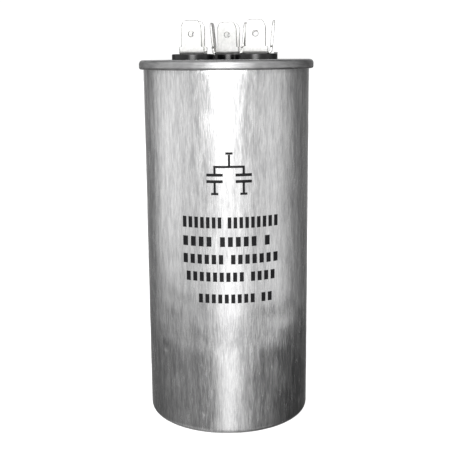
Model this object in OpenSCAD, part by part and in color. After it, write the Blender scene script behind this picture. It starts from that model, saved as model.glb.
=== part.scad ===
// Dual motor run capacitor: a drawn aluminium can closed by a double-seamed lid,
// three staked terminals with upright quick-connect tabs, and two film windings inside.
// Millimetres. The origin is the centre of the base, and +Z points up to the terminals.

/* [Can] */
// Outside diameter of the can
can_d = 54; // [50:0.5:66]
// Height from the base to the top of the seam
can_h = 119.2; // [95:0.2:150]
// Sheet thickness of the can
can_t = 0.45; // [0.35:0.05:0.6]
// Outside radius of the corner between floor and wall
corner_r = 2.2; // [1.4:0.1:4]

/* [Lid and seam] */
// Sheet thickness of the lid
lid_t = 0.4; // [0.3:0.05:0.5]
// Height of the double seam
seam_h = 3; // [2.6:0.1:4]
// Clearance between the folded layers of the seam
seam_gap = 0.06; // [0.04:0.01:0.09]
// How far the seaming chuck leans the can's wall inwards inside the seam
seam_lean = 0.3; // [0.28:0.01:0.4]
// Distance below the seam at which that lean starts
lean_drop = 0.3; // [0.1:0.1:0.5]
// Depth of the flat panel below the top of the seam
panel_depth = 3; // [2.4:0.1:4.5]
// Depth of the groove inside the seam, below the panel
sink_depth = 1.8; // [1.6:0.1:2.6]
// Inside radius of the groove
sink_r = 0.7; // [0.5:0.1:1]
// Inside radius of the step from the groove up to the panel
knee_r = 0.4; // [0.2:0.05:0.6]
// Radius of the circle that the stiffening bead follows
bead_path_r = 20.6; // [20.2:0.1:21]
// Inside radius of the bead's own curve
bead_r = 0.6; // [0.4:0.05:0.8]

/* [Terminals] */
// Radius of the circle that the three terminals stand on
term_circle_r = 11.5; // [11:0.1:12]
// Turn of the lid against the printed front of the can
lid_turn = -5; // [-180:1:180]
// Diameter of the shank of each rivet
rivet_d = 3.2; // [2.6:0.1:3.6]
// Diameter of the rivet's heads
rivet_head_d = 5.4; // [4.6:0.1:6]
// Height of the domed outer head
rivet_head_h = 0.9; // [0.5:0.1:1.4]
// Height of the rolled inner head
rivet_roll_h = 0.6; // [0.4:0.1:1]
// Diameter of the hollow in the rivet's rolled end
rivet_bore_d = 1.8; // [1:0.1:2]
// Depth of that hollow
rivet_bore_h = 3.5; // [2:0.5:6]
// Clearance round the rivet and in the insulators
stake_gap = 0.05; // [0.03:0.01:0.1]

/* [Tabs] */
// Width of a tab blade
tab_w = 6.35; // [4.75:0.05:6.4]
// Thickness of the tab sheet
tab_t = 0.8; // [0.6:0.1:0.9]
// Length of the blade above its shoulders
tab_l = 7.95; // [7:0.05:9]
// Width across the shoulders
shoulder_w = 7.9; // [7:0.1:8.4]
// Height of the shoulders above the insulator
shoulder_h = 2.3; // [1.9:0.1:3.5]
// Inside radius of the bend at the foot of a tab
bend_r = 0.4; // [0.3:0.05:0.6]
// Distance from the terminal's axis to the start of each bend
bend_x = 4.1; // [4:0.05:4.3]
// Outward lean of the tabs
tab_lean = 5.5; // [0:0.5:8]
// Diameter of the detent hole
detent_d = 1.75; // [1.4:0.05:2]
// Distance from the tip to the detent hole
detent_l = 4.1; // [3.5:0.1:4.5]
// Width that each cut corner takes from the tip
tip_cut_w = 1; // [0.5:0.1:1.4]
// Length of each cut corner
tip_cut_l = 1.7; // [0.8:0.1:2.2]
// Length of the thinned lead-in at the tip
lead_in_l = 0.9; // [0.5:0.1:1.5]
// Thickness left at the very tip
lead_in_t = 0.4; // [0.3:0.05:0.5]

/* [Insulators] */
// Diameter of the upper insulator
ins_d = 14; // [13:0.1:15]
// Height of the upper insulator above the panel
ins_h = 4.8; // [4:0.1:7]
// Radius of its top edge
ins_edge_r = 0.4; // [0.2:0.05:0.8]
// Diameter of the spigot that lines the hole in the lid
spigot_d = 5.2; // [4.6:0.1:5.8]
// Length of the spigot below the lid
spigot_l = 0.8; // [0.5:0.1:1.2]
// Diameter of the rubber seal
seal_d = 10; // [8.5:0.1:11]
// Thickness of the rubber seal when clamped
seal_t = 1; // [0.6:0.1:1.5]
// Diameter of the lower insulator
washer_d = 12; // [11:0.1:13]
// Thickness of the lower insulator
washer_t = 1.8; // [1.6:0.1:3]
// Height of the lug that keeps the tabs from turning
lug_h = 0.4; // [0.2:0.05:0.6]
// Width of that lug
lug_w = 2.4; // [1.5:0.1:3]
// Radial thickness of that lug
lug_t = 1.2; // [0.8:0.05:1.3]

/* [Winding] */
// Space between the lid and the top of the windings
head_room = 13; // [12:0.5:20]
// Thickness of the insulating cup's floor
cup_floor_t = 3.2; // [3:0.1:5]
// Thickness of the cup's wall
cup_wall_t = 0.4; // [0.3:0.05:0.6]
// Height of the cup's wall above its floor
cup_wall_h = 8; // [4:0.5:20]
// Clearance between the cup and the can
cup_gap = 0.1; // [0.05:0.05:0.4]
// Clearance between one layer of the winding and the next
layer_gap = 0.05; // [0.03:0.01:0.1]
// Thickness of the outer wrap
wrap_t = 0.9; // [0.5:0.1:1.5]
// Bore of the core tube
core_bore_d = 6.4; // [5:0.1:7]
// Wall of the core tube
core_t = 1.3; // [0.8:0.1:1.6]
// Radial build of the fan winding
fan_build = 3.9; // [3.6:0.1:5]
// Thickness of the barrier between the two windings
barrier_t = 0.8; // [0.5:0.1:1.2]
// Thickness of the sprayed metal on each end
spray_t = 1; // [0.6:0.1:1.5]
// Margin left bare at the edges of each sprayed end
spray_margin = 0.4; // [0.3:0.05:0.6]
// Wall of the spacer ring above the windings
spacer_t = 1.4; // [1:0.1:1.4]
// Gap between the spacer ring and the step at the edge of the lid's panel
spacer_gap = 0.59; // [0.4:0.01:0.8]
// Number of windows in the spacer ring
spacer_windows = 6; // [4:1:8]
// Height of each window
window_h = 6; // [4:0.5:8]
// Angle that each window takes
window_angle = 34; // [20:1:38]

/* [Leads] */
// Diameter of each lead
lead_d = 1.8; // [1.4:0.1:1.8]
// Centre radius of a bend in a lead
lead_bend_r = 1.7; // [1.6:0.1:1.8]
// Diameter of the solder on each sprayed end
solder_d = 3; // [2.4:0.1:3]
// Height of the solder
solder_h = 0.9; // [0.6:0.1:1.2]
// Length of the common lead's foot under the lower spray
foot_l = 5; // [4:0.5:8]
// Sheet thickness of the solder tags
tag_t = 0.5; // [0.4:0.1:0.6]
// Width of the solder tags
tag_w = 3; // [2.4:0.1:3.4]
// Diameter of the ring of each solder tag
tag_ring_d = 6.4; // [6.2:0.1:7]
// Drop of each tag below its bend
tag_drop = 2.5; // [2:0.1:3.5]
// Inside radius of each tag's bend
tag_bend_r = 0.5; // [0.3:0.05:0.8]
// Reach of the common and compressor tags from their rivets
tag_reach = 6; // [5.6:0.1:6.4]
// Straight start of the common lead below its tag
lead_start_l = 1; // [0.5:0.1:2]

/* [Hidden] */
$fn = 96;
// A cut runs this far past the faces it opens
past = 1;

// Seam. The layers from the inside out are: lid, can, lid, can, lid.
can_r = can_d / 2;
hook_slot = lid_t + 2 * seam_gap + seam_lean;
fold_r = hook_slot / 2;
fold_x = can_r - seam_lean + fold_r;
lean_z = can_h - seam_h - lean_drop;
can_fold_r = fold_r + can_t;
lid_fold_r = can_fold_r + seam_gap + lid_t;
fold_z = can_h - lid_fold_r;
curl_r = can_t / 2 + seam_gap;
curl_x = can_r + seam_gap + lid_t + curl_r;
curl_z = can_h - seam_h + curl_r + lid_t;
can_hook_z = curl_z + seam_gap;
lid_hook_z = fold_z - fold_r;
compound_r = fold_r - seam_gap;

// Lid
panel_top = can_h - panel_depth;
panel_z = panel_top - lid_t;
chuck_x = fold_x - lid_fold_r;
sink_x = chuck_x - sink_r;
sink_z = panel_top - sink_depth;
knee_x = sink_x - sink_r - lid_t - knee_r;
knee_z = panel_z - knee_r;

// Terminals: where each stands, how far its tabs are turned, and where its tabs point
COMMON = 0;
FAN = 1;
HERM = 2;
term_angle = [90, 210, 330];
tabs_turn = [-2, 0.5, 2];
tab_sides = [[0, 90, 180, 270], [90, 270], [270, 0, 90]];
lug_side = [100, 100, 0];
bore_r = rivet_d / 2 + stake_gap;
lid_hole_r = spigot_d / 2 + stake_gap;
ins_top = panel_top + ins_h;
tag_z = panel_z - washer_t - tag_t;

// Windings, from the floor up
cup_z = can_t;
lower_spray_z = cup_z + cup_floor_t;
winding_z = lower_spray_z + spray_t;
upper_spray_z = panel_z - head_room - spray_t;
upper_spray_top = upper_spray_z + spray_t;
cup_r = can_r - can_t - cup_gap;
wrap_r = cup_r - cup_wall_t - layer_gap;
winding_r = wrap_r - wrap_t - layer_gap;
core_bore_r = core_bore_d / 2;
core_r = core_bore_r + core_t;
fan_r = core_r + layer_gap + fan_build;
barrier_r = fan_r + layer_gap + barrier_t;
spacer_r = knee_x - spacer_gap - spacer_t;

// Leads
lead_r = lead_d / 2;
fan_reach = term_circle_r - (core_r + fan_r) / 2;
lead_top = tag_z - tag_bend_r - tag_drop;
foot_z = lower_spray_z - lead_r;
across_l = term_circle_r - tag_reach - 2 * lead_bend_r;
down_l = lead_top - foot_z - lead_start_l - 3 * lead_bend_r;
slot_r = lead_r + stake_gap;

// ---- Shapes that several pieces share ----

// A half or whole ring drawn in the profile plane; side is 1 for the upper half, -1 for the lower
module half_ring(inner, outer, side) {
    intersection() {
        difference() {
            circle(outer);
            circle(inner);
        }
        translate([-outer - past, side > 0 ? 0 : -outer - past])
            square([2 * (outer + past), outer + past]);
    }
}

// A quarter of a ring; x_side and y_side are 1 or -1 and choose the quarter
module quarter_ring(inner, outer, x_side, y_side) {
    intersection() {
        half_ring(inner, outer, y_side);
        translate([x_side > 0 ? 0 : -outer - past, -outer - past])
            square([outer + past, 2 * (outer + past)]);
    }
}

// A rectangle in the profile plane, given by its corners
module span(x0, z0, x1, z1) {
    translate([x0, z0]) square([x1 - x0, z1 - z0]);
}

// A tube that stands on z
module tube(inner, outer, z, height) {
    rotate_extrude() span(inner, z, outer, z + height);
}

// A bent strip of sheet. Its lower face lies on z = 0, it bends up at x, and the children
// are drawn flat and stand on the end of the bend, their back on its inner face.
module bent_up(x, width, sheet, inner, lean) {
    turn = 90 - lean;
    translate([x, 0, sheet + inner]) {
        rotate([0, 90, 0])
            rotate([90, 0, 0])
                translate([0, 0, -width / 2])
                    rotate_extrude(angle = turn)
                        translate([inner, 0])
                            square([sheet, width]);
        translate([inner * sin(turn), 0, -inner * cos(turn)])
            rotate([0, lean, 0])
                rotate([90, 0, 90])
                    children();
    }
}

// Puts its children at a terminal, on the level of the lid's panel
module at_terminal(which) {
    rotate([0, 0, term_angle[which] + lid_turn])
        translate([term_circle_r, 0, 0])
            rotate([0, 0, -term_angle[which]])
                children();
}

// ---- Can, lid and seam ----

module can() {
    color("silver") rotate_extrude() {
        span(0, 0, can_r - corner_r, can_t);
        translate([can_r - corner_r, corner_r])
            quarter_ring(corner_r - can_t, corner_r, 1, -1);
        polygon([
            [can_r - can_t, corner_r],
            [can_r, corner_r],
            [can_r, lean_z],
            [can_r - seam_lean, fold_z],
            [can_r - seam_lean - can_t, fold_z],
            [can_r - can_t, lean_z]
        ]);
        translate([fold_x, fold_z]) half_ring(fold_r, can_fold_r, 1);
        span(fold_x + fold_r, can_hook_z, fold_x + can_fold_r, fold_z);
    }
}

// The folded edge of the lid: chuck wall, seaming panel, outer wall, curl and cover hook
module lid_edge() {
    lid_in_r = lid_fold_r - lid_t;
    span(chuck_x, sink_z + sink_r, chuck_x + lid_t, fold_z);
    translate([fold_x, fold_z]) half_ring(lid_in_r, lid_fold_r, 1);
    span(fold_x + lid_in_r, curl_z, fold_x + lid_fold_r, fold_z);
    translate([curl_x, curl_z]) half_ring(curl_r, curl_r + lid_t, -1);
    span(can_r + seam_gap, curl_z, can_r + seam_gap + lid_t, lid_hook_z);
}

// The pressed middle of the lid: groove, step, flat panel and stiffening bead
module lid_panel() {
    translate([sink_x, sink_z + sink_r]) half_ring(sink_r, sink_r + lid_t, -1);
    span(sink_x - sink_r - lid_t, sink_z + sink_r, sink_x - sink_r, knee_z);
    translate([knee_x, knee_z]) quarter_ring(knee_r, knee_r + lid_t, 1, 1);
    span(bead_path_r + bead_r, panel_z, knee_x, panel_top);
    translate([bead_path_r, panel_z]) half_ring(bead_r, bead_r + lid_t, 1);
    span(0, panel_z, bead_path_r - bead_r, panel_top);
}

module lid() {
    color("lightgray") difference() {
        rotate_extrude() {
            lid_edge();
            lid_panel();
        }
        for (which = [COMMON, FAN, HERM])
            at_terminal(which)
                translate([0, 0, panel_z - past])
                    cylinder(h = lid_t + 2 * past, r = lid_hole_r);
    }
}

module seam_compound() {
    color("dimgray") rotate_extrude() translate([fold_x, fold_z]) circle(compound_r);
}

// ---- Terminals, from the outside in ----

// The outline of a blade, from the end of its bend to its tip
module blade_outline(length) {
    shoulder = length - tab_l;
    difference() {
        union() {
            translate([-shoulder_w / 2, 0]) square([shoulder_w, shoulder]);
            polygon([
                [-tab_w / 2, 0],
                [tab_w / 2, 0],
                [tab_w / 2, length - tip_cut_l],
                [tab_w / 2 - tip_cut_w, length],
                [-tab_w / 2 + tip_cut_w, length],
                [-tab_w / 2, length - tip_cut_l]
            ]);
        }
        translate([0, length - detent_l]) circle(detent_d / 2);
    }
}

// The thickness of a blade along its length, thinned towards the tip on both faces
module blade_section(length) {
    thinned = (tab_t - lead_in_t) / 2;
    polygon([
        [0, 0],
        [length - lead_in_l, 0],
        [length, thinned],
        [length, tab_t - thinned],
        [length - lead_in_l, tab_t],
        [0, tab_t]
    ]);
}

module blade() {
    foot = tab_t + bend_r * (1 - sin(tab_lean)) - tab_t * sin(tab_lean);
    length = (shoulder_h - foot) / cos(tab_lean) + tab_l;
    intersection() {
        linear_extrude(tab_t) blade_outline(length);
        translate([-shoulder_w / 2 - past, 0, 0])
            rotate([90, 0, 90])
                linear_extrude(shoulder_w + 2 * past)
                    blade_section(length);
    }
}

module tab_cluster(which) {
    color("gainsboro") at_terminal(which)
        translate([0, 0, ins_top])
            rotate([0, 0, tabs_turn[which]])
                difference() {
                    union() {
                        translate([-shoulder_w / 2, -shoulder_w / 2, 0])
                            cube([shoulder_w, shoulder_w, tab_t]);
                        for (side = tab_sides[which])
                            rotate([0, 0, side]) {
                                translate([0, -shoulder_w / 2, 0])
                                    cube([bend_x, shoulder_w, tab_t]);
                                bent_up(bend_x, shoulder_w, tab_t, bend_r, tab_lean) blade();
                            }
                    }
                    translate([0, 0, -past]) cylinder(h = tab_t + 2 * past, r = bore_r);
                }
}

// Domed head on the tabs, shank through the stack, and a hollow end rolled over the tag
module rivet(which) {
    top = ins_top + tab_t;
    dome_r = (pow(rivet_head_d / 2, 2) + pow(rivet_head_h, 2)) / (2 * rivet_head_h);
    color("khaki") at_terminal(which) difference() {
        union() {
            intersection() {
                translate([0, 0, top + rivet_head_h - dome_r]) sphere(dome_r);
                translate([0, 0, top]) cylinder(h = rivet_head_h, r = rivet_head_d / 2);
            }
            translate([0, 0, tag_z]) cylinder(h = top - tag_z, r = rivet_d / 2);
            translate([0, 0, tag_z - rivet_roll_h])
                cylinder(h = rivet_roll_h, r1 = rivet_d / 2, r2 = rivet_head_d / 2);
        }
        translate([0, 0, tag_z - rivet_roll_h - past])
            cylinder(h = rivet_bore_h + past, r = rivet_bore_d / 2);
    }
}

module insulator(which) {
    ins_r = ins_d / 2;
    spigot_end = panel_z - spigot_l;
    color("#1c1c1e") at_terminal(which) {
        rotate_extrude() difference() {
            union() {
                span(bore_r, spigot_end, spigot_d / 2, ins_top);
                span(bore_r, panel_top, ins_r, ins_top - ins_edge_r);
                span(bore_r, panel_top, ins_r - ins_edge_r, ins_top);
                translate([ins_r - ins_edge_r, ins_top - ins_edge_r]) circle(ins_edge_r);
            }
            span(spigot_d / 2, panel_top - past, seal_d / 2 + stake_gap, panel_top + seal_t);
        }
        intersection() {
            translate([0, 0, panel_top]) cylinder(h = ins_h + lug_h, r = ins_r);
            rotate([0, 0, lug_side[which]])
                translate([ins_r - lug_t, -lug_w / 2, ins_top - ins_edge_r])
                    cube([lug_t + past, lug_w, lug_h + ins_edge_r]);
        }
    }
}

module seal(which) {
    color("dimgray") at_terminal(which)
        tube(lid_hole_r, seal_d / 2, panel_top, seal_t);
}

module lower_insulator(which) {
    color("#2a2a2c") at_terminal(which)
        rotate_extrude() difference() {
            span(bore_r, panel_z - washer_t, washer_d / 2, panel_z);
            span(0, panel_z - spigot_l - stake_gap, lid_hole_r, panel_z + past);
        }
}

// A ring under the rivet with a tail that reaches out and turns down to its lead
module solder_tag(which, toward, reach) {
    bend_at = reach - tag_bend_r - tag_t / 2;
    color("gold") at_terminal(which)
        rotate([0, 0, toward])
            translate([0, 0, tag_z + tag_t])
                mirror([0, 0, 1])
                    difference() {
                        union() {
                            cylinder(h = tag_t, r = tag_ring_d / 2);
                            translate([0, -tag_w / 2, 0]) cube([bend_at, tag_w, tag_t]);
                            bent_up(bend_at, tag_w, tag_t, tag_bend_r, 0)
                                linear_extrude(tag_t)
                                    translate([-tag_w / 2, 0])
                                        square([tag_w, tag_drop]);
                        }
                        translate([0, 0, -past]) cylinder(h = tag_t + 2 * past, r = bore_r);
                    }
}

// ---- Leads ----

// A quarter bend that starts upwards at the origin and ends towards +X, and what follows it
module quarter_bend() {
    translate([lead_bend_r, 0, 0])
        rotate([-90, 0, 0])
            rotate([0, 0, 180])
                rotate_extrude(angle = 90)
                    translate([lead_bend_r, 0])
                        circle(lead_r);
    translate([lead_bend_r, 0, lead_bend_r]) rotate([0, 90, 0]) children();
}

// Solder that stands on a sprayed end
module solder() {
    dome_r = (pow(solder_d / 2, 2) + pow(solder_h, 2)) / (2 * solder_h);
    intersection() {
        translate([0, 0, solder_h - dome_r]) sphere(dome_r);
        cylinder(h = solder_h, r = solder_d / 2);
    }
}

// A short straight lead from a sprayed end up to its tag
module straight_lead(which, toward, reach) {
    at_terminal(which)
        rotate([0, 0, toward])
            translate([reach, 0, upper_spray_top]) {
                cylinder(h = lead_top - upper_spray_top, r = lead_r);
                solder();
            }
}

// ---- Nodes ----

module tabs_common() tab_cluster(COMMON);
module tabs_fan() tab_cluster(FAN);
module tabs_herm() tab_cluster(HERM);
module rivet_common() rivet(COMMON);
module rivet_fan() rivet(FAN);
module rivet_herm() rivet(HERM);
module insulator_common() insulator(COMMON);
module insulator_fan() insulator(FAN);
module insulator_herm() insulator(HERM);
module seal_common() seal(COMMON);
module seal_fan() seal(FAN);
module seal_herm() seal(HERM);
module lower_insulator_common() lower_insulator(COMMON);
module lower_insulator_fan() lower_insulator(FAN);
module lower_insulator_herm() lower_insulator(HERM);

module solder_tag_common() solder_tag(COMMON, term_angle[COMMON] + 180, tag_reach);
module solder_tag_fan() solder_tag(FAN, term_angle[FAN] + 180, fan_reach);
module solder_tag_herm() solder_tag(HERM, term_angle[HERM], tag_reach);

// The common lead crosses to the axis, goes down the core and ends in a foot under the lower spray
module lead_common() {
    color("black") at_terminal(COMMON)
        rotate([0, 0, term_angle[COMMON] + 180])
            translate([tag_reach, 0, lead_top])
                mirror([0, 0, 1]) {
                    cylinder(h = lead_start_l, r = lead_r);
                    translate([0, 0, lead_start_l]) quarter_bend() {
                        cylinder(h = across_l, r = lead_r);
                        translate([0, 0, across_l])
                            mirror([1, 0, 0])
                                quarter_bend() {
                                    cylinder(h = down_l, r = lead_r);
                                    translate([0, 0, down_l])
                                        quarter_bend() cylinder(h = foot_l, r = lead_r);
                                }
                    }
                }
}

module lead_fan() {
    color("royalblue") straight_lead(FAN, term_angle[FAN] + 180, fan_reach);
}

module lead_herm() {
    color("firebrick") straight_lead(HERM, term_angle[HERM], tag_reach);
}

// ---- Windings and what holds them ----

module herm_winding() {
    color("ivory")
        tube(barrier_r + layer_gap, winding_r, winding_z, upper_spray_z - winding_z);
}

module fan_winding() {
    color("linen")
        tube(core_r + layer_gap, fan_r, winding_z, upper_spray_z - winding_z);
}

module winding_barrier() {
    color("wheat")
        tube(fan_r + layer_gap, barrier_r, winding_z, upper_spray_top + barrier_t - winding_z);
}

module core_tube() {
    color("white") tube(core_bore_r, core_r, lower_spray_z, upper_spray_top - lower_spray_z);
}

module outer_wrap() {
    color("peru") tube(winding_r + layer_gap, wrap_r, lower_spray_z, upper_spray_top - lower_spray_z);
}

module common_end_spray() {
    color("slategray")
        tube(core_r + spray_margin, winding_r - spray_margin, lower_spray_z, spray_t);
}

module fan_end_spray() {
    color("slategray")
        tube(core_r + spray_margin, fan_r - spray_margin, upper_spray_z, spray_t);
}

module herm_end_spray() {
    color("slategray")
        tube(barrier_r + spray_margin, winding_r - spray_margin, upper_spray_z, spray_t);
}

// A moulded cup that keeps the windings off the can, with a slot for the common lead's foot
module base_cup() {
    slot_z = foot_z - slot_r;
    color("whitesmoke") difference() {
        union() {
            tube(0, cup_r - corner_r, cup_z, cup_floor_t);
            tube(0, cup_r, cup_z + corner_r, cup_floor_t - corner_r);
            tube(cup_r - cup_wall_t, cup_r, cup_z + corner_r, cup_floor_t - corner_r + cup_wall_h);
            translate([0, 0, cup_z + corner_r])
                rotate_extrude()
                    translate([cup_r - corner_r, 0])
                        intersection() {
                            circle(corner_r);
                            translate([0, -corner_r]) square(corner_r);
                        }
        }
        translate([0, 0, slot_z]) cylinder(h = cup_floor_t, r = 2 * slot_r);
        rotate([0, 0, term_angle[COMMON] + lid_turn])
            translate([0, -slot_r, slot_z])
                cube([lead_bend_r + foot_l + stake_gap, 2 * slot_r, cup_floor_t]);
    }
}

// A windowed ring that stands on the compressor winding's spray and meets the lid's flat panel
module top_spacer() {
    height = panel_z - upper_spray_top;
    color("whitesmoke") difference() {
        tube(spacer_r, spacer_r + spacer_t, upper_spray_top, height);
        for (i = [0 : spacer_windows - 1])
            rotate([0, 0, i * 360 / spacer_windows])
                translate([0, 0, upper_spray_top + (height - window_h) / 2])
                    rotate_extrude(angle = window_angle)
                        translate([spacer_r - past, 0])
                            square([spacer_t + 2 * past, window_h]);
    }
}

can();
lid();
seam_compound();
tabs_common();
tabs_fan();
tabs_herm();
rivet_common();
rivet_fan();
rivet_herm();
insulator_common();
insulator_fan();
insulator_herm();
seal_common();
seal_fan();
seal_herm();
lower_insulator_common();
lower_insulator_fan();
lower_insulator_herm();
solder_tag_common();
solder_tag_fan();
solder_tag_herm();
lead_common();
lead_fan();
lead_herm();
herm_winding();
fan_winding();
winding_barrier();
core_tube();
outer_wrap();
common_end_spray();
fan_end_spray();
herm_end_spray();
base_cup();
top_spacer();
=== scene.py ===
# %% [markdown]
# # A motor run capacitor, dressed for a picture
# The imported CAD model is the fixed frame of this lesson. Its solids stay where they are.
# Blender gives them real finishes, remodels the pieces whose small dents or rounded edges
# the solids leave out, which are the drawn can and the folded tabs, and adds the print.

# %% Load the frame
import math
import bmesh
import bpy
from mathutils import Matrix, Vector


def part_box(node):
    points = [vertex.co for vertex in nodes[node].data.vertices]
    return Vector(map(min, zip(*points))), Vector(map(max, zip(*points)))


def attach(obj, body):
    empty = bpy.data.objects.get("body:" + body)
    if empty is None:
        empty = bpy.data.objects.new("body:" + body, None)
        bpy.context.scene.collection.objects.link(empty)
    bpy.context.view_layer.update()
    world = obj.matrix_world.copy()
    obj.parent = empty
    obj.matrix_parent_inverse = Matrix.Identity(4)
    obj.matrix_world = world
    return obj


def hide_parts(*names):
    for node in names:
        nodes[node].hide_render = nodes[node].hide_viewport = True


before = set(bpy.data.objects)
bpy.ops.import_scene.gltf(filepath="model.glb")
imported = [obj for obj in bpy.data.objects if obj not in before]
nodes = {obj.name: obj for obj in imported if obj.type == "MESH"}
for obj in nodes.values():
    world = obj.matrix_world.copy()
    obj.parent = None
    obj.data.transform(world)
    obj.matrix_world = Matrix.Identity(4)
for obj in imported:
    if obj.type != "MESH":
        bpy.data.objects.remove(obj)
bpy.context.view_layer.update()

MM = 0.001
for plain in list(bpy.data.materials):  # the plain colours that the model was packed with
    bpy.data.materials.remove(plain)

# %% [markdown]
# ## Sizes that the pieces share
# The can, the seam and the terminals already have their places in the CAD model, so what a
# node's box can tell is read from it: heights, the terminals' places and the thickness of
# the can's floor. The other sizes, such as the can's radius and the roundings of its seam,
# are the ones that the part was drawn with.

# %% Sizes from the frame
CAN_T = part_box("base_cup")[0].z  # the cup stands on the can's floor
SEAM_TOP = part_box("lid")[1].z
INS_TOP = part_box("tabs_common")[0].z
CAN_R = 27 * MM
CORNER_R = 2.2 * MM
SEAM_H = 3 * MM
LEAN_IN = 0.3 * MM
LEAN_Z = SEAM_TOP - SEAM_H - 0.3 * MM
FOLD_R = 0.41 * MM
FOLD_X = CAN_R - LEAN_IN + FOLD_R
FOLD_Z = SEAM_TOP - 1.32 * MM
HOOK_Z = SEAM_TOP - 2.255 * MM
terminals = {}
for name in ("common", "fan", "herm"):
    low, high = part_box("seal_" + name)
    terminals[name] = Vector(((low.x + high.x) / 2, (low.y + high.y) / 2, INS_TOP))
    print(name, "terminal at", [round(v / MM, 2) for v in terminals[name]], "mm")

# %% [markdown]
# ## Small tools
# Blender's operators act on whatever is selected, so each step first clears the selection,
# and faces, edges or corners are then picked by where they are. A finished piece has its
# place in its mesh, as a CAD node has, and it rides on the one body, "root".

# %% Selecting and finishing
NEAR = 0.01 * MM  # how far off its place a picked corner may be


def clear_selection():
    """Leaves edit mode and selects nothing."""
    if bpy.context.object and bpy.context.object.mode != "OBJECT":
        bpy.ops.object.mode_set(mode="OBJECT")
    bpy.ops.object.select_all(action="DESELECT")


def make_active(piece):
    """Selects one piece and nothing else."""
    clear_selection()
    piece.select_set(True)
    bpy.context.view_layer.objects.active = piece


def edit():
    """Opens the active piece for editing."""
    bpy.ops.object.mode_set(mode="EDIT")


def pick(kind, test):
    """In edit mode, selects only the edges or faces whose every corner passes."""
    bpy.context.tool_settings.mesh_select_mode = (False, kind == "EDGE", kind == "FACE")
    bpy.ops.mesh.select_all(action="DESELECT")
    mesh = bmesh.from_edit_mesh(bpy.context.object.data)
    for item in {"EDGE": mesh.edges, "FACE": mesh.faces}[kind]:
        if all(test(v.co) for v in item.verts):
            item.select_set(True)
    mesh.select_flush_mode()
    bmesh.update_edit_mesh(bpy.context.object.data)


def face_outwards(outward, spot):
    """Makes an open sheet's faces agree, so that the one nearest this spot looks outward."""
    bpy.ops.mesh.select_all(action="SELECT")
    bpy.ops.mesh.normals_make_consistent(inside=False)
    mesh = bmesh.from_edit_mesh(bpy.context.object.data)
    nearest = min(mesh.faces, key=lambda f: (f.calc_center_median() - spot).length)
    if nearest.normal.dot(outward) < 0:
        bpy.ops.mesh.flip_normals()


def modify(piece, kind, **settings):
    """Adds a modifier and applies it at once."""
    make_active(piece)
    modifier = piece.modifiers.new(kind.title(), kind)
    for key, value in settings.items():
        setattr(modifier, key, value)
    bpy.ops.object.modifier_apply(modifier=modifier.name)


def put_place_in_mesh(piece):
    """Moves a piece's place, turn and scale into its mesh, so that its origin is the frame's."""
    make_active(piece)
    bpy.ops.object.transform_apply(location=True, rotation=True, scale=True)


def finish_piece(piece, *materials, smooth=30, replaces=(), slot=None):
    """Shades a piece, gives it its materials and hides the CAD nodes that it replaces."""
    put_place_in_mesh(piece)
    bpy.ops.object.shade_smooth_by_angle(angle=math.radians(smooth))
    slots = piece.data.materials
    for i, material in enumerate(materials):
        if i == len(slots):
            slots.append(material)
        slots[i] = material
    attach(piece, "root")
    if replaces:
        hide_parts(*replaces)
    print(piece.name, "has", len(piece.data.polygons), "faces")


# %% [markdown]
# ## Building materials from nodes
# Colours are written as the sRGB hex values that a colour picker shows, and one function
# turns them to the linear values that Blender mixes with. One small function adds a node,
# sets it and links it. Every pattern is placed by Object coordinates, which are metres
# here, so its scale follows from a real size in millimetres.

# %% Colour and node helpers
def hex_colour(text):
    """An sRGB hex value as the linear colour that Blender mixes with."""
    parts = [int(text[i : i + 2], 16) / 255 for i in (1, 3, 5)]
    line = [p / 12.92 if p <= 0.04045 else ((p + 0.055) / 1.055) ** 2.4 for p in parts]
    return (*line, 1.0)


def add(tree, kind, links=None, values=None, **settings):
    """Adds a node: settings on the node, values and links on its sockets."""
    node = tree.nodes.new(kind)
    for key, value in settings.items():
        setattr(node, key, value)
    for key, value in (values or {}).items():
        node.inputs[key].default_value = value
    for key, source in (links or {}).items():
        tree.links.new(source, node.inputs[key])
    return node


def new_material(name, **values):
    """A material with its Principled shader's constants set on the shader itself."""
    material = bpy.data.materials.new(name)
    material.use_nodes = True
    shader = material.node_tree.nodes["Principled BSDF"]
    for key, value in values.items():
        shader.inputs[key.replace("_", " ")].default_value = value
    return material, material.node_tree, shader


def object_coords(tree, size_mm):
    """Object coordinates, scaled so that one unit of the pattern is this size in each axis."""
    coords = add(tree, "ShaderNodeTexCoord")
    scale = tuple(1 / (s * MM) for s in size_mm)
    return add(
        tree, "ShaderNodeMapping", {"Vector": coords.outputs["Object"]}, {"Scale": scale}
    ).outputs["Vector"]


def noise(tree, size_mm, detail=2.0, rough=0.5):
    """Noise from 0 to 1 whose lumps are about this size in millimetres."""
    return add(
        tree,
        "ShaderNodeTexNoise",
        {"Vector": object_coords(tree, size_mm)},
        {"Scale": 1.0, "Detail": detail, "Roughness": rough},
    ).outputs["Fac"]


def calc(tree, operation, first, second=0.0):
    """One step of arithmetic on patterns or numbers."""
    node = add(tree, "ShaderNodeMath", operation=operation)
    for i, value in enumerate((first, second)):
        if isinstance(value, (int, float)):
            node.inputs[i].default_value = value
        else:
            tree.links.new(value, node.inputs[i])
    return node.outputs[0]


def spread(tree, source, low, high, start=0.3, end=0.7):
    """Turns a pattern into the range from low to high."""
    return add(
        tree,
        "ShaderNodeMapRange",
        {"Value": source},
        {"From Min": start, "From Max": end, "To Min": low, "To Max": high},
    ).outputs["Result"]


def blend_colours(tree, factor, first, second):
    """Mixes two sRGB colours by a pattern."""
    mixer = add(tree, "ShaderNodeMix", data_type="RGBA")
    tree.links.new(factor, mixer.inputs[0])
    mixer.inputs[6].default_value = hex_colour(first)
    mixer.inputs[7].default_value = hex_colour(second)
    return mixer.outputs[2]


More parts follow.
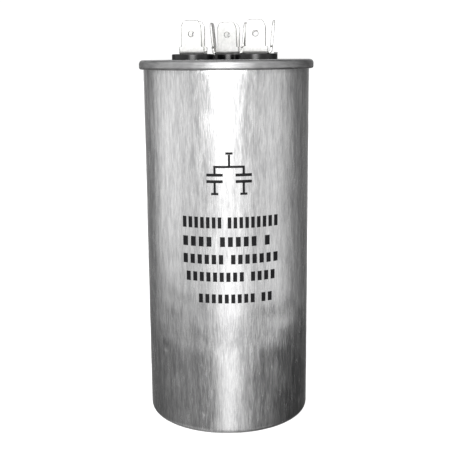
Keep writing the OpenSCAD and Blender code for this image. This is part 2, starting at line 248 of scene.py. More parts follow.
def drive(tree, shader, colour, roughness):
    """Links a finished pattern to the shader's colour and another to its roughness."""
    tree.links.new(colour, shader.inputs["Base Color"])
    tree.links.new(roughness, shader.inputs["Roughness"])


def bump(tree, shader, height, depth_mm):
    """Raises the surface by a pattern, up to a real depth."""
    node = add(
        tree, "ShaderNodeBump", {"Height": height}, {"Strength": 1.0, "Distance": depth_mm * MM}
    )
    tree.links.new(node.outputs["Normal"], shader.inputs["Normal"])


# %% [markdown]
# ### Drawn aluminium
# The can is impact-extruded and drawn from soft aluminium, so the tools that pull it leave
# fine upright lines. They are stretched noise, far longer than they are wide, and drive
# roughness, tint and bump together. Anisotropy spreads the shine sideways, across the
# lines, as such metal does. Short scratches lie over them. They are strongest in one patch
# of the front, which is a little greyer too, as if it had been rubbed in handling. Scuffs
# make small spots duller.

# %% Drawn aluminium
def drawn_aluminium():
    material, tree, shader = new_material("drawn_aluminium", Metallic=1.0, Anisotropic=0.8)
    lines = noise(tree, (0.26, 0.26, 3.4), detail=4.0, rough=0.66)
    bands = noise(tree, (1.5, 1.5, 12.0), detail=3.0)
    scratches = noise(tree, (0.36, 0.36, 3.2), detail=3.0, rough=0.65)
    scuffs = noise(tree, (1.6, 1.6, 5.0), detail=4.0, rough=0.7)
    worn = spread(tree, scuffs, 0.0, 0.08, 0.58, 0.72)
    patch_mm = (7.0, 7.0, 6.0)
    patch_at = (1.5 * MM, -CAN_R, 34 * MM)
    from_patch = add(
        tree,
        "ShaderNodeVectorMath",
        {0: object_coords(tree, patch_mm)},
        {1: tuple(at / (size * MM) for at, size in zip(patch_at, patch_mm))},
        operation="DISTANCE",
    ).outputs["Value"]
    rubbed = spread(tree, from_patch, 2.0, 0.9, 0.4, 1.2)
    lined = calc(tree, "ADD", lines, bands)
    marks = calc(tree, "MULTIPLY", calc(tree, "SUBTRACT", scratches, 0.5), rubbed)
    marked = calc(tree, "ADD", lined, marks)
    greyed = spread(tree, from_patch, 0.4, 0.0, 0.2, 1.3)
    tint = calc(tree, "SUBTRACT", spread(tree, marked, 0.0, 1.0, 0.72, 1.28), greyed)
    rough = calc(tree, "ADD", spread(tree, marked, 0.18, 0.26, 0.72, 1.28), worn)
    drive(tree, shader, blend_colours(tree, tint, "#c6c6c7", "#f6f6f6"), rough)
    bump(tree, shader, marked, 0.014)
    return material


DRAWN = drawn_aluminium()
print("made", DRAWN.name)

# %% [markdown]
# ### Lid aluminium
# The lid is rolled sheet with a duller mill finish. Its seam has been pressed by rollers
# that run round it, so its fine marks go round the edge, not up and down.

# %% Lid aluminium
def lid_aluminium():
    material, tree, shader = new_material("lid_aluminium", Metallic=1.0)
    marks = noise(tree, (3.0, 3.0, 0.16), detail=3.0, rough=0.6)
    blotches = noise(tree, (4.0, 4.0, 1.2), detail=3.0, rough=0.6)
    both = calc(tree, "ADD", marks, blotches)
    tint = spread(tree, both, 0, 1, 0.75, 1.25)
    rough = spread(tree, both, 0.36, 0.50, 0.75, 1.25)
    drive(tree, shader, blend_colours(tree, tint, "#a2a2a3", "#c4c4c4"), rough)
    bump(tree, shader, marks, 0.01)
    return material


LID = lid_aluminium()
print("made", LID.name)

# %% [markdown]
# ### Tinned brass
# The tabs are stamped from brass strip and tin plated. Tin is a soft, grey-white metal
# under a thin powdery bloom, so the finish is only partly metallic and its roughness is
# cloudy. The stamped edges get a near-black finish that is painted shade, a dark outline
# for the shade that the narrow edges catch. The rivets are bare brass, with the same kind of bloom.

# %% Tinned brass, the painted shade on its edges, and the brass of the rivets
def plated_metal(name, dark, light, rough_low, rough_high, metallic=1.0):
    material, tree, shader = new_material(name, Metallic=metallic)
    bloom = noise(tree, (0.9, 0.9, 1.4), detail=4.0, rough=0.6)
    rough = spread(tree, bloom, rough_low, rough_high)
    drive(tree, shader, blend_colours(tree, spread(tree, bloom, 0, 1), dark, light), rough)
    bump(tree, shader, noise(tree, (0.12, 0.12, 0.12), detail=1.0), 0.002)
    return material


TINNED = plated_metal("tinned_brass", "#d4d4d2", "#ececea", 0.40, 0.52, metallic=0.65)
# near-black finish for the bevelled edges: painted shade, a dark outline round each blade
EDGE_SHADE_PAINT = plated_metal("painted_edge_shade", "#2c2a27", "#3e3c38", 0.40, 0.52)
RIVET = plated_metal("rivet_brass", "#cbbf9a", "#ddd4b4", 0.28, 0.40)
print("made", TINNED.name, EDGE_SHADE_PAINT.name, "and", RIVET.name)

# %% [markdown]
# ### Moulded and soft parts
# Phenolic insulators are pressed in a polished mould: deep black and glossy, with a faint
# orange-peel skin, and phenolic bends light more than the other plastics here. The rubber
# seals, the sleeves on the leads and the white polypropylene cups are duller. Each gets
# its own grain size, and a slight mottle in its colour.

# %% Moulded plastics, rubber and sleeves
def moulded(name, dark, light, grain_mm, rough_low, rough_high, depth_mm, ior=1.52):
    material, tree, shader = new_material(name, IOR=ior)
    grain = noise(tree, (grain_mm,) * 3, detail=3.0)
    rough = spread(tree, grain, rough_low, rough_high)
    drive(tree, shader, blend_colours(tree, spread(tree, grain, 0, 1), dark, light), rough)
    bump(tree, shader, grain, depth_mm)
    return material


PHENOLIC = moulded("black_phenolic", "#070708", "#0e0e10", 0.6, 0.13, 0.20, 0.004, ior=1.6)
RUBBER = moulded("seal_rubber", "#1b1b1c", "#262627", 0.2, 0.55, 0.70, 0.01)
COMPOUND = moulded("sealing_compound", "#4a4a4a", "#5c5b59", 0.3, 0.60, 0.75, 0.02)
WHITE = moulded("white_polypropylene", "#dcdcd8", "#ecece8", 0.8, 0.38, 0.50, 0.01)
SLEEVES = {
    "lead_common": moulded("black_sleeve", "#121212", "#1e1e1e", 0.25, 0.42, 0.55, 0.01),
    "lead_fan": moulded("blue_sleeve", "#1d3f86", "#2650a4", 0.25, 0.42, 0.55, 0.01),
    "lead_herm": moulded("red_sleeve", "#8c1a17", "#a6231e", 0.25, 0.42, 0.55, 0.01),
}
print("made", len(SLEEVES) + 4, "moulded finishes")

# %% [markdown]
# ### Wound film and sprayed zinc
# The windings are thousands of turns of clear film with a metal coat a few hundredths of a
# micron thick. On their ends and sides the turns show as fine rings and a silvery sheen.
# Zinc is sprayed on the ends as molten drops, which leaves a coarse, dull grey crust.

# %% Film and zinc
def wound_film(name, dark, light, metallic):
    material, tree, shader = new_material(name, Metallic=metallic, IOR=1.49)
    coords = object_coords(tree, (1.0, 1.0, 1.0))
    rings = add(
        tree,
        "ShaderNodeTexWave",
        {"Vector": coords},
        {"Scale": 1.6, "Distortion": 1.5, "Detail": 2.0},
        wave_type="RINGS",
        rings_direction="Z",
    ).outputs["Fac"]
    rough = spread(tree, rings, 0.25, 0.4, 0, 1)
    drive(tree, shader, blend_colours(tree, rings, dark, light), rough)
    bump(tree, shader, rings, 0.01)
    return material


def sprayed_zinc():
    material, tree, shader = new_material("sprayed_zinc", Metallic=0.9)
    crust = noise(tree, (0.5, 0.5, 0.5), detail=5.0, rough=0.7)
    tint = spread(tree, crust, 0, 1)
    rough = spread(tree, crust, 0.55, 0.8)
    drive(tree, shader, blend_colours(tree, tint, "#6c6f74", "#9a9ca0"), rough)
    bump(tree, shader, crust, 0.12)
    return material


METAL_FILM = wound_film("metallised_film", "#b4b4b2", "#d8d8d4", 0.7)
PLAIN_FILM = wound_film("plain_film", "#c2ac7c", "#d8c598", 0.0)
ZINC = sprayed_zinc()
print("made", METAL_FILM.name, PLAIN_FILM.name, "and", ZINC.name)

# %% [markdown]
# ## Finishes for the CAD nodes
# A solid whose shape is already right keeps its mesh and only gets its material slot
# filled. A name's first words say which finish it takes.

# %% Dress the CAD nodes
FINISHES = {
    "can": DRAWN,
    "lid": LID,
    "seam_compound": COMPOUND,
    "tabs_": TINNED,
    "rivet_": RIVET,
    "insulator_": PHENOLIC,
    "seal_": RUBBER,
    "lower_insulator_": PHENOLIC,
    "solder_tag_": TINNED,
    "herm_winding": METAL_FILM,
    "fan_winding": METAL_FILM,
    "winding_barrier": PLAIN_FILM,
    "outer_wrap": PLAIN_FILM,
    "core_tube": WHITE,
    "base_cup": WHITE,
    "top_spacer": WHITE,
    "common_end_spray": ZINC,
    "fan_end_spray": ZINC,
    "herm_end_spray": ZINC,
    **SLEEVES,
}
for name, node in nodes.items():
    finish = next(m for start, m in FINISHES.items() if name.startswith(start))
    node.data.materials.clear()
    node.data.materials.append(finish)
print("dressed", len(nodes), "CAD nodes")

# %% [markdown]
# ## The drawn can
# The real can starts as a slug that is pressed into a cup. Here a flat disc is the floor.
# Its rim is extruded up and outwards in short steps for the rounded corner, then in one
# long step for the wall, and over and down again for the hook that the lid grips. The wall
# is divided finely, so that small dents and slow waves can be pushed into it, and Solidify
# then gives the sheet its thickness on the inside.

# %% Raise the can's wall from a disc
AROUND = 224
WALL_ROWS = 112
FLOOR_INSET = 6 * MM
CORNER_STEPS = 8
FOLD_STEPS = 6


def extrude_rim(radius, z):
    """Extrudes the selected ring to a new radius and height."""
    mesh = bmesh.from_edit_mesh(bpy.context.object.data)
    at = next(v.co for v in mesh.verts if v.select)
    grow = radius / math.hypot(at.x, at.y)
    bpy.ops.mesh.extrude_region_move(TRANSFORM_OT_translate={"value": (0, 0, z - at.z)})
    bpy.ops.transform.resize(value=(grow, grow, 1), center_override=(0, 0, 0))


clear_selection()
bpy.ops.mesh.primitive_circle_add(
    vertices=AROUND, radius=CAN_R - CORNER_R, fill_type="NGON", location=(0, 0, 0)
)
can_shell = bpy.context.object
can_shell.name = "can_shell"
edit()
bpy.ops.mesh.inset(thickness=FLOOR_INSET)
pick("EDGE", lambda c: math.hypot(c.x, c.y) > CAN_R - CORNER_R - NEAR)
for step in range(1, CORNER_STEPS + 1):
    angle = math.pi / 2 * step / CORNER_STEPS
    extrude_rim(CAN_R - CORNER_R * (1 - math.sin(angle)), CORNER_R * (1 - math.cos(angle)))
extrude_rim(CAN_R, LEAN_Z)
extrude_rim(CAN_R - LEAN_IN, FOLD_Z)
for step in range(1, FOLD_STEPS + 1):
    angle = math.pi * step / FOLD_STEPS
    extrude_rim(FOLD_X - FOLD_R * math.cos(angle), FOLD_Z + FOLD_R * math.sin(angle))
extrude_rim(FOLD_X + FOLD_R, HOOK_Z)
bpy.context.tool_settings.mesh_select_mode = (False, True, False)
bpy.ops.mesh.select_all(action="DESELECT")
mesh = bmesh.from_edit_mesh(can_shell.data)
for edge in mesh.edges:
    low, high = sorted(v.co.z for v in edge.verts)
    edge.select_set(high - low > SEAM_TOP / 2)
bmesh.update_edit_mesh(can_shell.data)
bpy.ops.mesh.subdivide(number_cuts=WALL_ROWS)
bpy.ops.mesh.select_all(action="SELECT")
bpy.ops.mesh.remove_doubles(threshold=0.001 * MM)
face_outwards(Vector((0, 0, -1)), Vector((0, 0, 0)))
bpy.ops.object.mode_set(mode="OBJECT")
print("can wall:", len(can_shell.data.vertices), "corners before the dents")

# %% [markdown]
# A can that has been handled has a few shallow dents, each a finger's width or less. The
# nearest corner of the mesh is pushed in with proportional editing, which carries its
# neighbours along in a soft hollow. The long slow waves of the wall come from a Displace
# modifier with a cloud texture, held back near the floor and the seam by a vertex group.

# %% Dents and waves
DENTS = [  # bearing from the front in degrees, height, depth and reach in mm
    (-50, 26.5, 0.10, 1.7),
    (-17, 8, 0.10, 2.2),
    (61, 8, 0.16, 3.0),
    (58, 108, 0.16, 4.0),
    (4, 29, 0.05, 3.0),
    (-58, 88, 0.08, 5.0),
    (118, 70, 0.16, 5.0),
    (150, 39, 0.12, 4.0),
    (196, 34, 0.16, 4.5),
    (-122, 52, 0.14, 4.0),
]
WAVY_FROM = 4 * MM
WAVY_TO = 112 * MM
FADE_L = 8 * MM  # the waves reach their full depth this far inside those two heights
make_active(can_shell)
edit()
for bearing, height, depth, reach in DENTS:
    a = math.radians(bearing)
    out = Vector((math.sin(a), -math.cos(a), 0))
    spot = out * CAN_R + Vector((0, 0, height * MM))
    mesh = bmesh.from_edit_mesh(can_shell.data)
    nearest = min(mesh.verts, key=lambda v: (v.co - spot).length_squared)
    bpy.ops.mesh.select_all(action="DESELECT")
    bpy.context.tool_settings.mesh_select_mode = (True, False, False)
    nearest.select_set(True)
    bmesh.update_edit_mesh(can_shell.data)
    bpy.ops.transform.translate(
        value=tuple(-out * depth * MM),
        use_proportional_edit=True,
        proportional_edit_falloff="SMOOTH",
        proportional_size=reach * MM,
    )
bpy.ops.object.mode_set(mode="OBJECT")
free_wall = can_shell.vertex_groups.new(name="free_wall")
for v in can_shell.data.vertices:
    inside = min((v.co.z - WAVY_FROM) / FADE_L, (WAVY_TO - v.co.z) / FADE_L, 1)
    if inside > 0 and math.hypot(v.co.x, v.co.y) > CAN_R - MM:
        free_wall.add([v.index], inside, "REPLACE")
waves = bpy.data.textures.new("wall_waves", "CLOUDS")
waves.noise_scale = 11 * MM
waves.noise_depth = 1
modify(
    can_shell,
    "DISPLACE",
    texture=waves,
    texture_coords="LOCAL",
    strength=0.16 * MM,
    mid_level=0.55,
    vertex_group="free_wall",
)
modify(can_shell, "SOLIDIFY", thickness=CAN_T, offset=-1, use_even_offset=True)
finish_piece(can_shell, DRAWN, smooth=40, replaces=["can"], slot="drawn_aluminium")

# %% [markdown]
# ## The push-on tabs
# Each cluster is one stamped piece of tinned brass: a square plate under the rivet, with
# two, three or four arms bent straight up into blades 6.35 mm wide. The whole flat pattern
# with four arms is modelled once as a thin sheet. An edge of the plate is extruded out to
# the bend, spun up through it, and extruded on as shoulder, blade and narrowed tip. Copies
# lose the arms that their terminal lacks before the sheet gets its thickness.

# %% Sizes of the tabs
TAB_T = 0.8 * MM
TAB_W = 6.35 * MM
SHOULDER_W = 7.9 * MM
BEND_R = 0.12 * MM
BEND_X = 4.5 * MM - BEND_R
LEAN = math.radians(5.5)
SHOULDER_H = 2.3 * MM
TAB_L = 7.95 * MM
TIP_W = 4.45 * MM
TIP_L = 1.75 * MM
SOFT_L = 0.35 * MM
LEAD_IN_L = 0.9 * MM
LEAD_IN_T = 0.52 * MM
THINNED_W = TAB_W - (TAB_W - TIP_W) * (TIP_L - LEAD_IN_L) / TIP_L
OUTLINE = [  # above the straight part: how far each step runs and how wide it ends
    (SOFT_L * 0.45, SHOULDER_W - 0.3 * MM),
    (SOFT_L * 0.55, TAB_W),
    (TAB_L - TIP_L - SOFT_L, TAB_W),
    (SOFT_L, TAB_W - 0.12 * MM),
    (TIP_L - LEAD_IN_L, THINNED_W),
    (LEAD_IN_L - SOFT_L, TIP_W + 0.3 * MM),
    (SOFT_L * 0.65, TIP_W - 0.05 * MM),
    (SOFT_L * 0.35, TIP_W - 0.5 * MM),
]
print("blades", TAB_W / MM, "mm wide and", TAB_L / MM, "mm long above their shoulders")


# %% Folding one arm
def arm_directions(side):
    """Where an arm points, how its blade rises and where its face looks; side in degrees."""
    a = math.radians(side)
    out = Vector((math.cos(a), math.sin(a), 0))
    up = Vector((0, 0, math.cos(LEAN))) + out * math.sin(LEAN)
    face = out * math.cos(LEAN) - Vector((0, 0, math.sin(LEAN)))
    return out, up, face


def extrude_edge(along, distance, grow):
    """Extrudes the selected edge and widens or narrows it about its middle."""
    bpy.ops.mesh.extrude_region_move(TRANSFORM_OT_translate={"value": tuple(along * distance)})
    mesh = bmesh.from_edit_mesh(bpy.context.object.data)
    ends = [v.co.copy() for v in mesh.verts if v.select]
    middle = sum(ends, Vector()) / len(ends)
    bpy.ops.transform.resize(value=(grow, grow, 1), center_override=tuple(middle))


def fold_blade_up(side):
    """Folds one arm up from the plate's edge; side is its bearing from +X in degrees."""
    out, up, _ = arm_directions(side)
    across = Vector((-out.y, out.x, 0))
    edge_at = SHOULDER_W / 2
    pick("EDGE", lambda c: abs(c.dot(out) - edge_at) < NEAR and abs(c.dot(across)) < edge_at + NEAR)
    bpy.ops.mesh.extrude_region_move(
        TRANSFORM_OT_translate={"value": tuple(out * (BEND_X - edge_at))}
    )
    centre = out * BEND_X + Vector((0, 0, TAB_T + BEND_R))
    bpy.ops.mesh.spin(
        steps=5, angle=math.pi / 2 - LEAN, center=tuple(centre), axis=tuple(across)
    )
    mesh = bmesh.from_edit_mesh(bpy.context.object.data)
    foot = min(v.co.z for v in mesh.verts if v.select)
    extrude_edge(up, (SHOULDER_H - foot) / math.cos(LEAN) - SOFT_L, 1)
    width = SHOULDER_W
    for run, next_width in OUTLINE:
        extrude_edge(up, run, next_width / width)
        width = next_width


# %% One four-armed sheet
clear_selection()
bpy.ops.mesh.primitive_plane_add(size=SHOULDER_W, location=(0, 0, 0))
sheet = bpy.context.object
sheet.name = "tab_sheet"
sheet.data.materials.append(TINNED)
sheet.data.materials.append(EDGE_SHADE_PAINT)
edit()
for side in (0, 90, 180, 270):
    fold_blade_up(side)
bpy.ops.mesh.select_all(action="SELECT")
bpy.ops.mesh.remove_doubles(threshold=0.001 * MM)
face_outwards(Vector((0, 0, -1)), Vector((0, 0, 0)))
bpy.ops.object.mode_set(mode="OBJECT")
top = max(v.co.z for v in sheet.data.vertices)
print("blade tips stand", round(top / MM, 2), "mm above the insulator")

# %% [markdown]
# The copies keep only their own arms. A sheet is then thickened, its blades taper towards
# the tip to leave the lead-in, and the detent holes and the rivet's hole are cut through.
# A fine bevel softens every stamped edge. Its faces take the second material, the painted
# edge shade, so each pale blade has a thin dark outline of painted shade.

# %% Cutting holes, dropping arms and thinning tips
DETENT_R = 0.875 * MM
DETENT_DOWN = 4.1 * MM
RIVET_HOLE_R = 1.65 * MM


def cut_hole(piece, radius, centre, direction, length):
    """Cuts a round hole with a cylinder that is then thrown away."""
    clear_selection()
    bpy.ops.mesh.primitive_cylinder_add(vertices=40, radius=radius, depth=length, location=centre)
    cutter = bpy.context.object
    cutter.rotation_euler = Vector(direction).to_track_quat("Z", "Y").to_euler()
    put_place_in_mesh(cutter)
    modify(piece, "BOOLEAN", object=cutter, operation="DIFFERENCE", solver="EXACT")
    bpy.data.objects.remove(cutter)


def drop_arms(piece, sides):
    """Deletes the arms on these sides of the plate."""
    make_active(piece)
    edit()
    for side in sides:
        out, _, _ = arm_directions(side)
        pick("FACE", lambda c: c.dot(out) > SHOULDER_W / 2 - NEAR)
        bpy.ops.mesh.delete(type="FACE")
    bpy.ops.object.mode_set(mode="OBJECT")


def thin_tip(piece, side):
    """Thins a blade towards its tip, and gives the middle of its detent hole."""
    out, up, face = arm_directions(side)
    on_blade = [v for v in piece.data.vertices if v.co.dot(out) > SHOULDER_W / 2]
    tip = max(v.co.dot(up) for v in on_blade)
    middle = max(v.co.dot(face) for v in on_blade if v.co.z > SHOULDER_H) - TAB_T / 2
    for v in on_blade:
        from_middle = v.co.dot(face) - middle
        thinning = max(0, 1 - (tip - v.co.dot(up)) / LEAD_IN_L) * (1 - LEAD_IN_T / TAB_T)
        if v.co.z > SHOULDER_H:
            v.co -= face * from_middle * thinning
    return up * (tip - DETENT_DOWN) + face * middle


# %% Three clusters from one sheet
TURN = {"common": -7, "fan": -4.5, "herm": -3}  # degrees about the rivet
ARMS = {"common": (0, 90, 180, 270), "fan": (90, 270), "herm": (270, 0, 90)}  # from +X
EDGE_W = 0.25 * MM


def tab_cluster(name):
    """Makes one terminal's cluster from a copy of the sheet and sets it on its insulator."""
    piece = sheet.copy()
    piece.data = sheet.data.copy()
    piece.name = "tab_cluster_" + name
    bpy.context.scene.collection.objects.link(piece)
    drop_arms(piece, {0, 90, 180, 270} - set(ARMS[name]))
    modify(piece, "SOLIDIFY", thickness=TAB_T, offset=-1, use_even_offset=True)
    for side in ARMS[name]:
        centre = thin_tip(piece, side)
        cut_hole(piece, DETENT_R, centre, arm_directions(side)[2], 4 * TAB_T)
    cut_hole(piece, RIVET_HOLE_R, (0, 0, 0), (0, 0, 1), 4 * TAB_T)
    # the bevel's faces take the second slot, the near-black painted edge shade
    modify(
        piece,
        "BEVEL",
        width=EDGE_W,
        segments=2,
        limit_method="ANGLE",
        angle_limit=math.radians(40),
        material=1,
    )
    piece.matrix_world = Matrix.Translation(terminals[name]) @ Matrix.Rotation(
        math.radians(TURN[name]), 4, "Z"
    )
    finish_piece(
        piece, TINNED, EDGE_SHADE_PAINT, smooth=35, replaces=["tabs_" + name], slot="tinned_brass"
    )
    modify(piece, "WEIGHTED_NORMAL", keep_sharp=True, weight=90)


for name in terminals:
    tab_cluster(name)
bpy.data.objects.remove(sheet)

# %% [markdown]
# ## The print
# A real can carries its rating in black ink, printed before the can is filled. This one
# has plain marks in its place: the diagram of a dual capacitor, whose two pairs of plates
# share one common wire, and rows of equal blocks that stand for lines of print. Flat bars
# are laid out in front of the can, shrink-wrapped onto it, and thickened to an ink film.

# %% Ink
def printed_ink():
    """Black ink, worn a little thinner in upright streaks."""
    material, tree, shader = new_material("black_ink", IOR=1.48, Specular_IOR_Level=0.2)
    wear = noise(tree, (0.5, 0.5, 2.4), detail=4.0, rough=0.7)
    tint = spread(tree, wear, 0, 1, 0.55, 0.75)
    rough = spread(tree, wear, 0.38, 0.55)
    drive(tree, shader, blend_colours(tree, tint, "#101012", "#242426"), rough)
    return material


INK = printed_ink()
INK_T = 0.02 * MM
INK_OFF = 0.012 * MM
PIECE_L = 0.8  # in mm, how long the pieces of a divided bar are at most
print("made", INK.name)


def bar(x, z, width, height):
    """A flat bar in front of the can: x is from its axis and z from the floor, all in mm."""
    clear_selection()
    bpy.ops.mesh.primitive_grid_add(
        x_subdivisions=max(1, math.ceil(width / PIECE_L)),
        y_subdivisions=1,
        size=1,
        location=(x * MM, -1.2 * CAN_R, z * MM),
        rotation=(math.pi / 2, 0, 0),
    )
    piece = bpy.context.object
    piece.scale = (width * MM, height * MM, 1)
    put_place_in_mesh(piece)
    return piece


def wrap_print(name, parts):
    """Joins flat parts, lays them on the can and gives them the ink's thickness."""
    clear_selection()
    for part in parts:
        part.select_set(True)
    bpy.context.view_layer.objects.active = parts[0]
    bpy.ops.object.join()
    piece = bpy.context.object
    piece.name = name
    modify(
        piece,
        "SHRINKWRAP",
        target=can_shell,
        wrap_method="PROJECT",
        use_project_y=True,
        use_positive_direction=True,
        use_negative_direction=False,
        offset=INK_OFF,
    )
    modify(piece, "SOLIDIFY", thickness=INK_T, offset=0)
    finish_piece(piece, INK, smooth=30)


# %% Lines of blocks
ROWS = [  # height, block height, left end, words as numbers of blocks, pitch of blocks, in mm
    (70.0, 3.5, -13.9, (7, 9), 1.81),
    (64.0, 3.1, -13.9, (4, 5, 1), 2.45),
    (58.4, 3.0, -13.9, (6, 7), 2.22),
    (52.8, 3.0, -13.0, (9, 4), 2.08),
    (45.8, 2.9, -9.2, (9, 2), 2.03),
]
BLOCK_SHARE = 0.62  # of the pitch; the rest is the gap to the next block
WORD_GAP = 0.7  # of the pitch, besides that gap
blocks = []
for z, height, x, words, pitch in ROWS:
    for word in words:
        for _ in range(word):
            blocks.append(bar(x + pitch * BLOCK_SHARE / 2, z, pitch * BLOCK_SHARE, height))
            x += pitch
        x += pitch * WORD_GAP
wrap_print("print_lines", blocks)

# %% The diagram of a dual capacitor
SYMBOL_X = 0.6
SIDE_X = 4.45
LINE = 0.7
symbol = [
    bar(SYMBOL_X, 89.3, LINE, 3.4),
    bar(SYMBOL_X, 87.3, 2 * SIDE_X + LINE, LINE),
    bar(SYMBOL_X, 91.4, 2.2, LINE),
]
for side in (-1, 1):
    x = SYMBOL_X + side * SIDE_X
    symbol += [
        bar(x, 86.0, LINE, 2.0),
        bar(x, 84.8, 5.0, 0.9),
        bar(x, 82.8, 5.0, 0.9),
        bar(x, 80.8, LINE, 3.2),
        bar(x, 79.0, 2.2, LINE),
    ]
wrap_print("print_symbol", symbol)

# %% [markdown]
# ## Studio
# The can stands on a plain pale floor before a white backdrop. Bare metal shows its
# surroundings and little else, so the light is shaped by what the can reflects: one tall
# soft panel in front and its glow on the table, dimmer panels at both sides, a rim light
# behind, and a grey room round them. The world is built from two profiles for each of
# these, one by bearing and one by height. The floor and the backdrop don't show in
# reflections, because so much white would wash the can out.

# %% Floor
clear_selection()
bpy.ops.mesh.primitive_plane_add(size=8, location=(0, 0, 0))
floor = bpy.context.object
floor.name = "floor"
floor_paint, floor_tree, floor_shader = new_material(
    "floor_paint", Roughness=0.9, Emission_Strength=0.65
)
floor_shader.inputs["Emission Color"].default_value = (1, 1, 1, 1)
floor_tree.links.new(
    blend_colours(floor_tree, noise(floor_tree, (90, 90, 90)), "#f6f6f6", "#fafafa"),
    floor_shader.inputs["Base Color"],
)
floor.data.materials.append(floor_paint)
floor.visible_glossy = False
print("floor of", round(floor.dimensions.x), "m")

# %% Backdrop, which only the camera sees
clear_selection()
bpy.ops.mesh.primitive_cylinder_add(vertices=64, radius=3.9, depth=6, end_fill_type="NOTHING")
backdrop = bpy.context.object
backdrop.name = "backdrop"
wall_paint, _, wall_shader = new_material("wall_paint", Emission_Strength=1.0)
wall_shader.inputs["Base Color"].default_value = (0, 0, 0, 1)
wall_shader.inputs["Emission Color"].default_value = (1, 1, 1, 1)
backdrop.data.materials.append(wall_paint)
backdrop.visible_glossy = False
backdrop.visible_diffuse = False
backdrop.visible_shadow = False
print("backdrop", round(backdrop.dimensions.z), "m high")

# %% Every direction's bearing and rise
world = bpy.data.worlds.new("studio")
bpy.context.scene.world = world
world.use_nodes = True
room = world.node_tree
direction = add(room, "ShaderNodeTexCoord").outputs["Generated"]
way = add(room, "ShaderNodeSeparateXYZ", {0: direction}).outputs
DEGREES = 180 / math.pi
bearing = calc(room, "ARCTAN2", way["X"], calc(room, "MULTIPLY", way["Y"], -1.0))
bearing = calc(room, "MULTIPLY", bearing, DEGREES)
rise = calc(room, "MULTIPLY", calc(room, "ARCSINE", way["Z"]), DEGREES)
print("the room reads each direction with", len(room.nodes), "nodes")


# %% The lamps
def profile(source, stops, low, high):
    """A smooth curve along bearing or rise, through stops of (degrees, share)."""
    place = add(
        room, "ShaderNodeMapRange", {"Value": source}, {"From Min": low, "From Max": high}
    ).outputs["Result"]
    node = add(room, "ShaderNodeValToRGB", {"Fac": place})
    node.color_ramp.interpolation = "EASE"
    points = node.color_ramp.elements
    while len(points) < len(stops):
        points.new(0.5)
    for point, (at, share) in zip(points, stops):
        point.position = (at - low) / (high - low)
        point.color = (share, share, share, 1)
    return node.outputs["Color"]


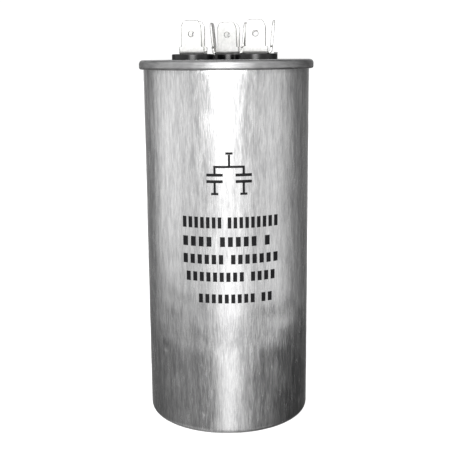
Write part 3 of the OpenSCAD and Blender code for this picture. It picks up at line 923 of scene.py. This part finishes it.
SIDE_RISE = [(-3, 1), (0, .75), (5, .6), (12, .9), (30, 1), (60, .8), (90, .5)]
LAMPS = [  # strength, share by bearing, share by rise above the horizon
    # the dim room itself
    (
        0.32,
        [(-180, 1.3), (-164, .9), (-148, .38), (-112, .44), (-60, .8), (-20, .55), (20, .6),
         (60, .52), (90, .16), (120, .15), (150, .2), (164, .95), (180, 1.3)],
        [(-90, 1.8), (-44, 1.6), (-29, .9), (-15, .95), (0, 1), (60, 1), (90, 1)],
    ),
    # soft box on the left
    (
        0.70,
        [(-150, 0), (-122, .15), (-104, .98), (-84, 1.12), (-60, .8), (-35, .74), (-24, .6),
         (0, .4), (20, 0)],
        [(-19.6, 0), (-17.8, .13), (-16.5, .42), (-15, .55), (-12, .95)] + SIDE_RISE,
    ),
    # soft box on the right
    (
        0.78,
        [(-20, 0), (0, .35), (12, .55), (30, .66), (47, .6), (62, .95), (73, .82), (84, .72),
         (92, .52), (101, .22), (112, .2), (130, .1), (160, 0)],
        [(-17.6, 0), (-17.3, .7), (-16.8, 2), (-15.9, 1.5), (-14.3, 1)] + SIDE_RISE,
    ),
    # the key light in front
    (
        7.0,
        [(-30, 0), (-22, .16), (-12, .8), (-4, 1), (4, .7), (13, .22), (20, .06), (32, 0)],
        [(-12, 0), (-9, .01), (-7, .08), (-3, .2), (-1, .35), (1, 1), (3, 1.3), (10, 1.1),
         (30, 1), (42, .35), (65, 0)],
    ),
    # the lower part of the key light, where its cloth hangs
    (
        0.50,
        [(-28, 0), (-19, .8), (-8, 1), (8, 1), (18, .7), (30, 0)],
        [(-18.8, 0), (-17.8, .2), (-16.8, 1), (-8, 1), (0, 0)],
    ),
    # the near edge of the table, beside the key light
    (
        0.42,
        [(-68, 0), (-56, .5), (-46, .7), (-36, 1), (-24, 1), (-14, 0)],
        [(-17.8, 0), (-17.3, 1), (-15, .9), (-13.2, 0)],
    ),
    # its glow on the table
    (
        1.25,
        [(-26, 0), (-20, .15), (-12, .55), (-7, 1), (3, 1), (14, .45), (26, .25), (40, 0)],
        [(-60, .3), (-28, .9), (-20, 1), (-17, .8), (-14, .1), (0, 0)],
    ),
    # rim light behind
    (
        1.2,
        [(-180, 1), (-172, .7), (-162, .14), (-136, 0), (136, 0), (162, .14), (172, .7),
         (180, 1)],
        [(-30, .1), (-18, .2), (-8, 1), (30, 1), (60, .2), (90, 0)],
    ),
]

# %% The room's light
light = 0.0
for strength, across, upward in LAMPS:
    sideways = profile(bearing, across, -180, 180)
    height = profile(rise, upward, -90, 90)
    shape = calc(room, "MULTIPLY", sideways, height)
    light = calc(room, "ADD", calc(room, "MULTIPLY", shape, strength), light)
background = room.nodes["Background"]
room.links.new(light, background.inputs["Color"])
print("the room has", len(LAMPS), "lights")

# %% [markdown]
# ## Camera
# The camera stands level with the can's rim, close in front of it, and looks down by
# eleven degrees with a slight roll. It is near, so the can narrows towards its base.

# %% Camera
PITCH = math.radians(11.34)
YAW = math.radians(-0.11)
ROLL = math.radians(-0.52)
CAMERA_AWAY = 282.9 * MM
CAMERA_UP = 120.4 * MM
forward = Vector(
    (math.sin(YAW) * math.cos(PITCH), math.cos(YAW) * math.cos(PITCH), -math.sin(PITCH))
)
right = Vector((math.cos(YAW), -math.sin(YAW), 0))
up = right.cross(forward)
rolled_right = math.cos(ROLL) * right + math.sin(ROLL) * up
rolled_up = math.cos(ROLL) * up - math.sin(ROLL) * right
lens = bpy.data.cameras.new("camera")
lens.lens = 67.68
lens.sensor_width = 36
lens.clip_start = 0.01
camera = bpy.data.objects.new("camera", lens)
bpy.context.scene.collection.objects.link(camera)
turn = Matrix((rolled_right, rolled_up, -forward)).transposed().to_4x4()
camera.matrix_world = Matrix.Translation((0, -CAMERA_AWAY, CAMERA_UP)) @ turn
bpy.context.scene.camera = camera
bpy.context.scene.view_settings.view_transform = "Standard"
print("camera", CAMERA_UP / MM, "mm up and", CAMERA_AWAY / MM, "mm in front of the axis")
